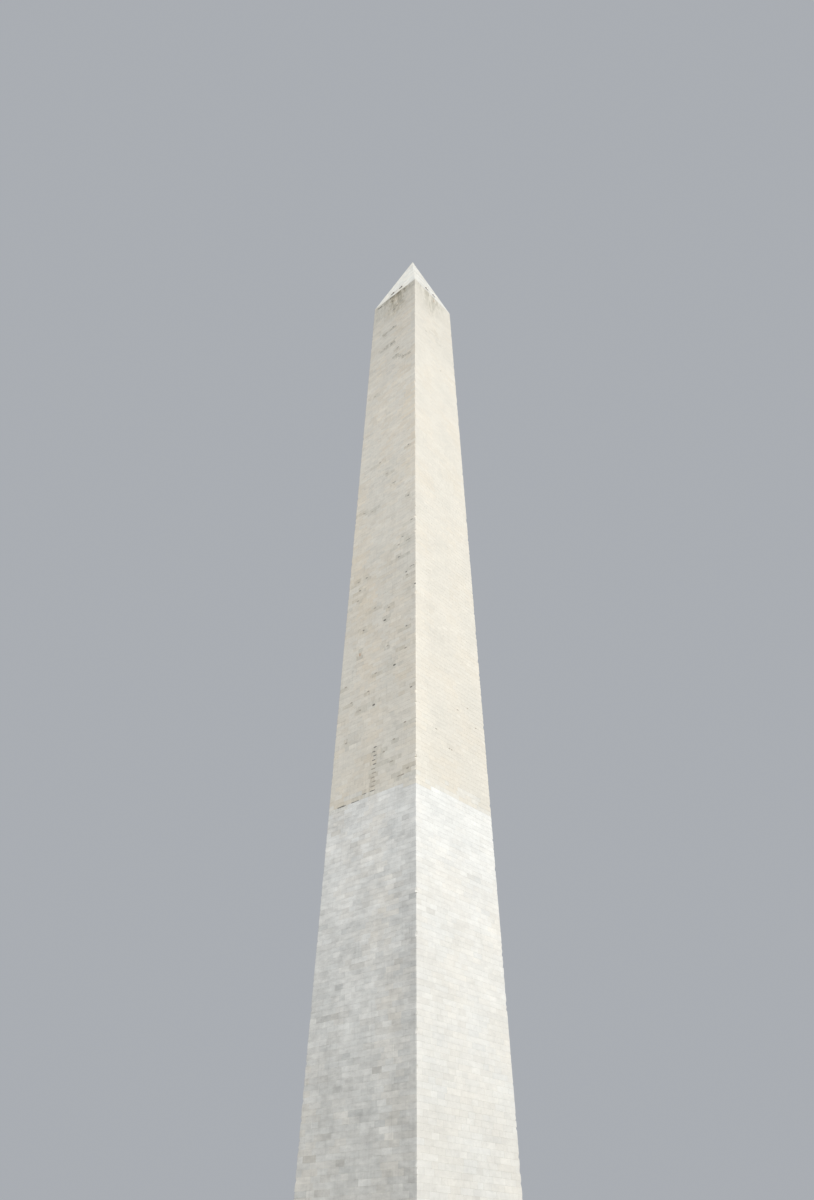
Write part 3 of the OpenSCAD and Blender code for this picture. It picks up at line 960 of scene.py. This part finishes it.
for side in SIDES:
    m = Mesh(side)
    for i, (a, z, w, h, what) in enumerate(MARKS[side]):
        a, z, w, h = a / 1000, z / 1000, w / 1000, h / 1000
        if what == CEMENT:
            w, h = w * 1.35, h * 1.25
        bed = min(BEDS, key=lambda b: abs(b - z))
        plate(m, a, bed if h < 0.03 else z, w, h, what, (SIDE_NO[side] + 1) * 1000 + i)
    ob = m.make(f"old_patches_{side}", [REPAIR, CRUST_MAT, RUST_MAT], None)
    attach(ob, "root")

# ------------------------------------------------------------------ pyramidion

ROWS_W, ROWS_U = 4, 8


def slab_tone(side, foot):
    k = SIDE_NO[side] + 30

    def tones(c, b, n, a0, a1, z):
        g = (rnd(k, c, b, 1) + rnd(k, c, b, 2)) / 2 - 0.5
        stain = 0.0
        if c in (300, 301) and abs(abs((a0 + a1) / 2) - 0.105) < 0.09:  # rain off the window sills
            stain = 0.16 * GRIME[side]
        # painted light: each side's slabs are drawn darker or lighter to even out the light they get, darkest on the
        # south and lightest on the west
        painted_side_light = {"south": -0.20, "east": -0.04, "north": 0.10, "west": 0.19}[side]
        return (0.5 + painted_side_light + 0.34 * g, 0.50 + 0.20 * (rnd(k, c, b, 4) - 0.5), rnd(k, c, b, 3), stain, 0.95)

    return tones


def slab_inner(z):
    return pyr_r(z) - SLAB_X


def cutter_box(name, a0, a1, b0, b1, z0, z1, side):
    corners = [turn(side, a, b) + (z,) for z in (z0, z1) for a, b in ((a0, b0), (a1, b0), (a1, b1), (a0, b1))]
    me = bpy.data.meshes.new(name)
    me.from_pydata(corners, [], [(3, 2, 1, 0), (4, 5, 6, 7), (0, 1, 5, 4), (1, 2, 6, 5), (2, 3, 7, 6), (3, 0, 4, 7)])
    return me


def cutter_bore(name, a, b0, b1, z, r, side, n=24):
    pts = []
    for b in (b0, b1):
        for i in range(n):
            t = 2 * math.pi * i / n
            pts.append(turn(side, a + r * math.cos(t), b) + (z + r * math.sin(t),))
    faces = [tuple(range(n)), tuple(range(2 * n - 1, n - 1, -1))]
    faces += [(i, i + n, (i + 1) % n + n, (i + 1) % n) for i in range(n)]
    me = bpy.data.meshes.new(name)
    me.from_pydata(pts, [], faces)
    return me


def carve(ob, cutters):
    """Cuts openings through a wall, and takes the cutters away again."""
    for i, me in enumerate(cutters):
        for name, kind, value in (("stone", "FLOAT_COLOR", (0.5, 0.5, 0.4, 0.0)), ("zone", "FLOAT", 0.95), ("grime", "FLOAT", 0.3)):
            att = me.attributes.new(name, kind, "FACE")
            if kind == "FLOAT":
                att.data.foreach_set("value", [value] * len(me.polygons))
            else:
                att.data.foreach_set("color", list(value) * len(me.polygons))
        me.materials.append(REVEAL_PAINTED_SHADE)  # the sides of the openings get a near-black material: painted shade of the recesses
        bm = bmesh.new()
        bm.from_mesh(me)
        bmesh.ops.recalc_face_normals(bm, faces=bm.faces)
        bm.to_mesh(me)
        bm.free()
        cut = bpy.data.objects.new(f"cut_{i}", me)
        bpy.context.collection.objects.link(cut)
        mod = ob.modifiers.new(f"cut_{i}", "BOOLEAN")
        mod.operation, mod.solver, mod.object, mod.material_mode = "DIFFERENCE", "EXACT", cut, "TRANSFER"
        bpy.context.view_layer.update()
        deps = bpy.context.evaluated_depsgraph_get()
        new = bpy.data.meshes.new_from_object(ob.evaluated_get(deps), preserve_all_data_layers=True, depsgraph=deps)
        ob.modifiers.clear()
        old = ob.data
        new.name = old.name
        ob.data = new
        bpy.data.meshes.remove(old)
        bpy.data.objects.remove(cut)
    while ob.data.uv_layers:
        ob.data.uv_layers.remove(ob.data.uv_layers[0])


rows = levels(SHAFT_H, WINDOWED_TOP, ROWS_W)[:-1] + levels(WINDOWED_TOP, CAP_Z, ROWS_U)
glass_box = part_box("window_glass_south")
frame_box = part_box("window_frames_south")
WIN_U = 0.105
WIN_HALF = frame_box[1][0] - WIN_U
WIN_LO, WIN_HI = frame_box[0][2], frame_box[1][2]
LAMP_Z = (lo("warning_lights", 2) + hi("warning_lights", 2)) / 2
LAMP_R = (hi("warning_lights", 2) - lo("warning_lights", 2)) / 2

for side in SIDES:
    k = SIDE_NO[side]
    rng = random.Random(2000 + k)
    js_out, js_in, before, before_in = [], [], [], []
    for c in range(len(rows) - 1):
        r = pyr_r((rows[c] + rows[c + 1]) / 2)
        want = 0.135
        n = max(1, round(2 * r / want))
        if c == 1:  # the windows stand in slabs of their own
            js = [-r + 0.15, -0.205, 0.0, 0.205, r - 0.15]
        else:
            w = 2 * r / n
            js = [-r + w * (i + (0.5 if c % 2 else 1.0)) + rng.uniform(-0.006, 0.006) for i in range(n)]
            js = [a for a in js if -r + 0.035 < a < r - 0.035]
        js_out.append(js)
        ri = r - SLAB_X
        js_in.append([a for a in js if abs(a) < ri - 0.03])
    tones = slab_tone(side, SHAFT_H)
    ob = wall(
        f"windowed_slabs_{side}_stone", side, rows[: ROWS_W + 1], pyr_r, slab_inner, js_out[:ROWS_W], js_in[:ROWS_W],
        tones, inner_marble(side), 300, ("mitre", "mitre"), (f"windowed_slabs_{side}",), 0, False,
        (0.5, 0.5, 0.3, 0.0, 0.95),
    )
    cutters = []
    for s in (-1, 1):
        cutters.append(cutter_box("cut", s * WIN_U - WIN_HALF, s * WIN_U + WIN_HALF, 0.3, 0.7, WIN_LO, WIN_HI, side))
        cutters.append(cutter_bore("cut", s * WIN_U, 0.3, 0.7, LAMP_Z, LAMP_R, side))
    carve(ob, cutters)
    pieces.append(ob)
    pieces.append(wall(
        f"upper_slabs_{side}_stone", side, rows[ROWS_W:], pyr_r, slab_inner, js_out[ROWS_W:], js_in[ROWS_W:],
        tones, inner_marble(side), 300 + ROWS_W, ("mitre", "mitre"), (f"upper_slabs_{side}",), 0, False,
        (0.5, 0.5, 0.3, 0.0, 0.95),
    ))

# ------------------------------------------------------------------ warning lamps: a metal collar and a ribbed red lens


def revolve(name, profile, places, mats, n=28):
    """A turned shape about a level axis, put at each place as (side, a, b, z)."""
    pts, faces = [], []
    for side, a, b, z in places:
        start = len(pts)
        for r, d in profile:
            for i in range(n):
                t = 2 * math.pi * i / n
                pts.append(turn(side, a + r * math.cos(t), b + d) + (z + r * math.sin(t),))
        m = len(profile)
        for j in range(m - 1):
            for i in range(n):
                q, w = start + j * n, start + (j + 1) * n
                faces.append((q + i, q + (i + 1) % n, w + (i + 1) % n, w + i))
        faces.append(tuple(start + i for i in range(n))[::-1])
        faces.append(tuple(start + (m - 1) * n + i for i in range(n)))
    me = bpy.data.meshes.new(name)
    me.from_pydata(pts, [], faces)
    for m in mats:
        me.materials.append(m)
    bm = bmesh.new()
    bm.from_mesh(me)
    bmesh.ops.recalc_face_normals(bm, faces=bm.faces)
    bm.to_mesh(me)
    bm.free()
    for p in me.polygons:
        p.use_smooth = len(p.vertices) == 4
    ob = bpy.data.objects.new(name, me)
    bpy.context.collection.objects.link(ob)
    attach(ob, "root")
    return ob


places = [(side, s * WIN_U, pyr_r(LAMP_Z), LAMP_Z) for side in SIDES for s in (-1, 1)]
R = LAMP_R
lens = revolve(
    "warning_light_lenses",
    [(R * 0.80, -0.014), (R * 0.80, 0.0005), (R * 0.78, 0.0012), (R * 0.80, 0.0020), (R * 0.76, 0.0028), (R * 0.77, 0.0036),
     (R * 0.70, 0.0046), (R * 0.70, 0.0054), (R * 0.55, 0.0064), (R * 0.36, 0.0074), (R * 0.15, 0.0079)],
    places, [LENS],
)
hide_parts("warning_lights")
collar = revolve(
    "warning_light_collars",
    [(R * 0.81, -0.016), (R * 1.0, -0.016), (R * 1.0, 0.0035), (R * 0.96, 0.0045), (R * 0.88, 0.0045), (R * 0.81, 0.0030), (R * 0.81, -0.010)],
    places, [PAINT],
)
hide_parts("warning_lights")

# ------------------------------------------------------------------ CAD pieces that stay, with their materials


def dress(node, mat, bevel=0.0, segments=2):
    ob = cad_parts[node]
    if not ob.material_slots:
        ob.data.materials.append(mat)
    for s in ob.material_slots:
        s.link = "OBJECT"
        s.material = mat
    if bevel:
        b = ob.modifiers.new("worn_edges", "BEVEL")
        b.width, b.segments, b.limit_method, b.angle_limit = bevel, segments, "ANGLE", math.radians(25)
        b.harden_normals = False


def plain_marble(name, base, tone):
    """Marble for the solid pieces: the same stone with no joints drawn on it."""
    k = Nodes(name)
    p = k.where()
    mottle = k.noise(p, 22.0, 5.0, 0.58)
    grain = k.noise(p, 150.0, 4.0, 0.6)
    vein_n = k.noise(p, 9.0, 4.0, 0.55, 1.6)
    vein = k.math("SUBTRACT", 1.0, k.step(k.math("ABSOLUTE", k.math("SUBTRACT", vein_n, 0.5)), 0.004, 0.03))
    m = k.math("MULTIPLY_ADD", k.math("SUBTRACT", mottle, 0.5), 0.28, tone)
    m = k.math("MULTIPLY_ADD", k.math("SUBTRACT", grain, 0.5), 0.14, m)
    m = k.math("MULTIPLY_ADD", vein, -0.07, m)
    col = k.ramp(k.noise(p, 3.0, 2.0), [(0.35, base), (0.65, tuple(c * f for c, f in zip(base, (0.99, 0.97, 0.93))))])
    k.link(k.vec("SCALE", col, scale=m), k.bsdf.inputs["Base Color"])
    k.link(k.math("MULTIPLY_ADD", mottle, 0.3, 0.5), k.bsdf.inputs["Roughness"])
    k.bump(grain, 0.3, 0.0008)
    return k.mat


SLAB_PLAIN = plain_marble("marble_plain", MARBLE_SLAB, 0.98)
dress("ground_floor", FLAGS, 0.0015)
dress("observation_floor", FLAGS, 0.0015)
dress("centre_ribs", SLAB_PLAIN, 0.0012)
dress("hip_ribs", SLAB_PLAIN, 0.0012)
dress("capstone", SLAB_PLAIN, 0.0010)
dress("metal_tip", TIP, 0.0002)
for side in SIDES:
    dress(f"window_frames_{side}", PAINT, 0.0006)
    dress(f"window_glass_{side}", GLASS)

# ------------------------------------------------------------------ stage, light and camera

PI = math.pi


def stage_floor():
    me = bpy.data.meshes.new("floor")
    n, r = 128, 5.85
    pts = [(r * math.cos(2 * PI * i / n), r * math.sin(2 * PI * i / n), -0.0005) for i in range(n)]
    me.from_pydata(pts, [], [tuple(range(n))])
    ob = bpy.data.objects.new("floor", me)
    bpy.context.collection.objects.link(ob)
    k = Nodes("floor_pale")
    k.bsdf.inputs["Base Color"].default_value = (0.50, 0.50, 0.49, 1)
    k.bsdf.inputs["Roughness"].default_value = 0.9
    me.materials.append(k.mat)
    return ob


stage_floor()

world = bpy.data.worlds.new("studio")
bpy.context.scene.world = world
world.use_nodes = True
world.node_tree.nodes["Background"].inputs[0].default_value = (0.40, 0.42, 0.45, 1)
world.node_tree.nodes["Background"].inputs[1].default_value = 1.0


def sun(name, towards, strength, angle, colour=(1, 1, 1)):
    """A distant soft light that shines from the direction given."""
    from mathutils import Vector

    data = bpy.data.lights.new(name, "SUN")
    data.energy, data.angle, data.color = strength, math.radians(angle), colour
    ob = bpy.data.objects.new(name, data)
    ob.rotation_euler = Vector(towards).to_track_quat("Z", "Y").to_euler()
    bpy.context.collection.objects.link(ob)


sun("key", (-0.03, -0.70, 0.71), 2.72, 12, (1.0, 0.99, 0.965))
sun("fill_west", (-0.86, -0.20, 0.47), 0.92, 50, (1.0, 0.98, 0.95))
sun("fill_north_east", (0.75, 0.60, 0.30), 1.1, 50, (1.0, 0.99, 0.97))


def camera():
    from mathutils import Matrix, Vector

    yaw, pitch, roll = 7.01118, 0.643682, 0.00737675
    fw = Vector((math.cos(pitch) * math.cos(yaw), math.cos(pitch) * math.sin(yaw), math.sin(pitch)))
    r = Vector((math.sin(yaw), -math.cos(yaw), 0.0))
    u = r.cross(fw)
    r2 = r * math.cos(roll) + u * math.sin(roll)
    u2 = -r * math.sin(roll) + u * math.cos(roll)
    data = bpy.data.cameras.new("camera")
    data.lens = 928.0585 / 1200 * 36.0
    data.sensor_width = 36.0
    data.sensor_fit = "AUTO"
    data.clip_start, data.clip_end = 0.05, 300.0
    ob = bpy.data.objects.new("camera", data)
    m = Matrix((r2, u2, -fw)).transposed().to_4x4()
    m.translation = Vector((-8.44734, -7.44271, -0.357439))
    ob.matrix_world = m
    bpy.context.collection.objects.link(ob)
    bpy.context.scene.camera = ob


camera()

view = bpy.context.scene.view_settings
view.view_transform = "Standard"
view.look = "None"
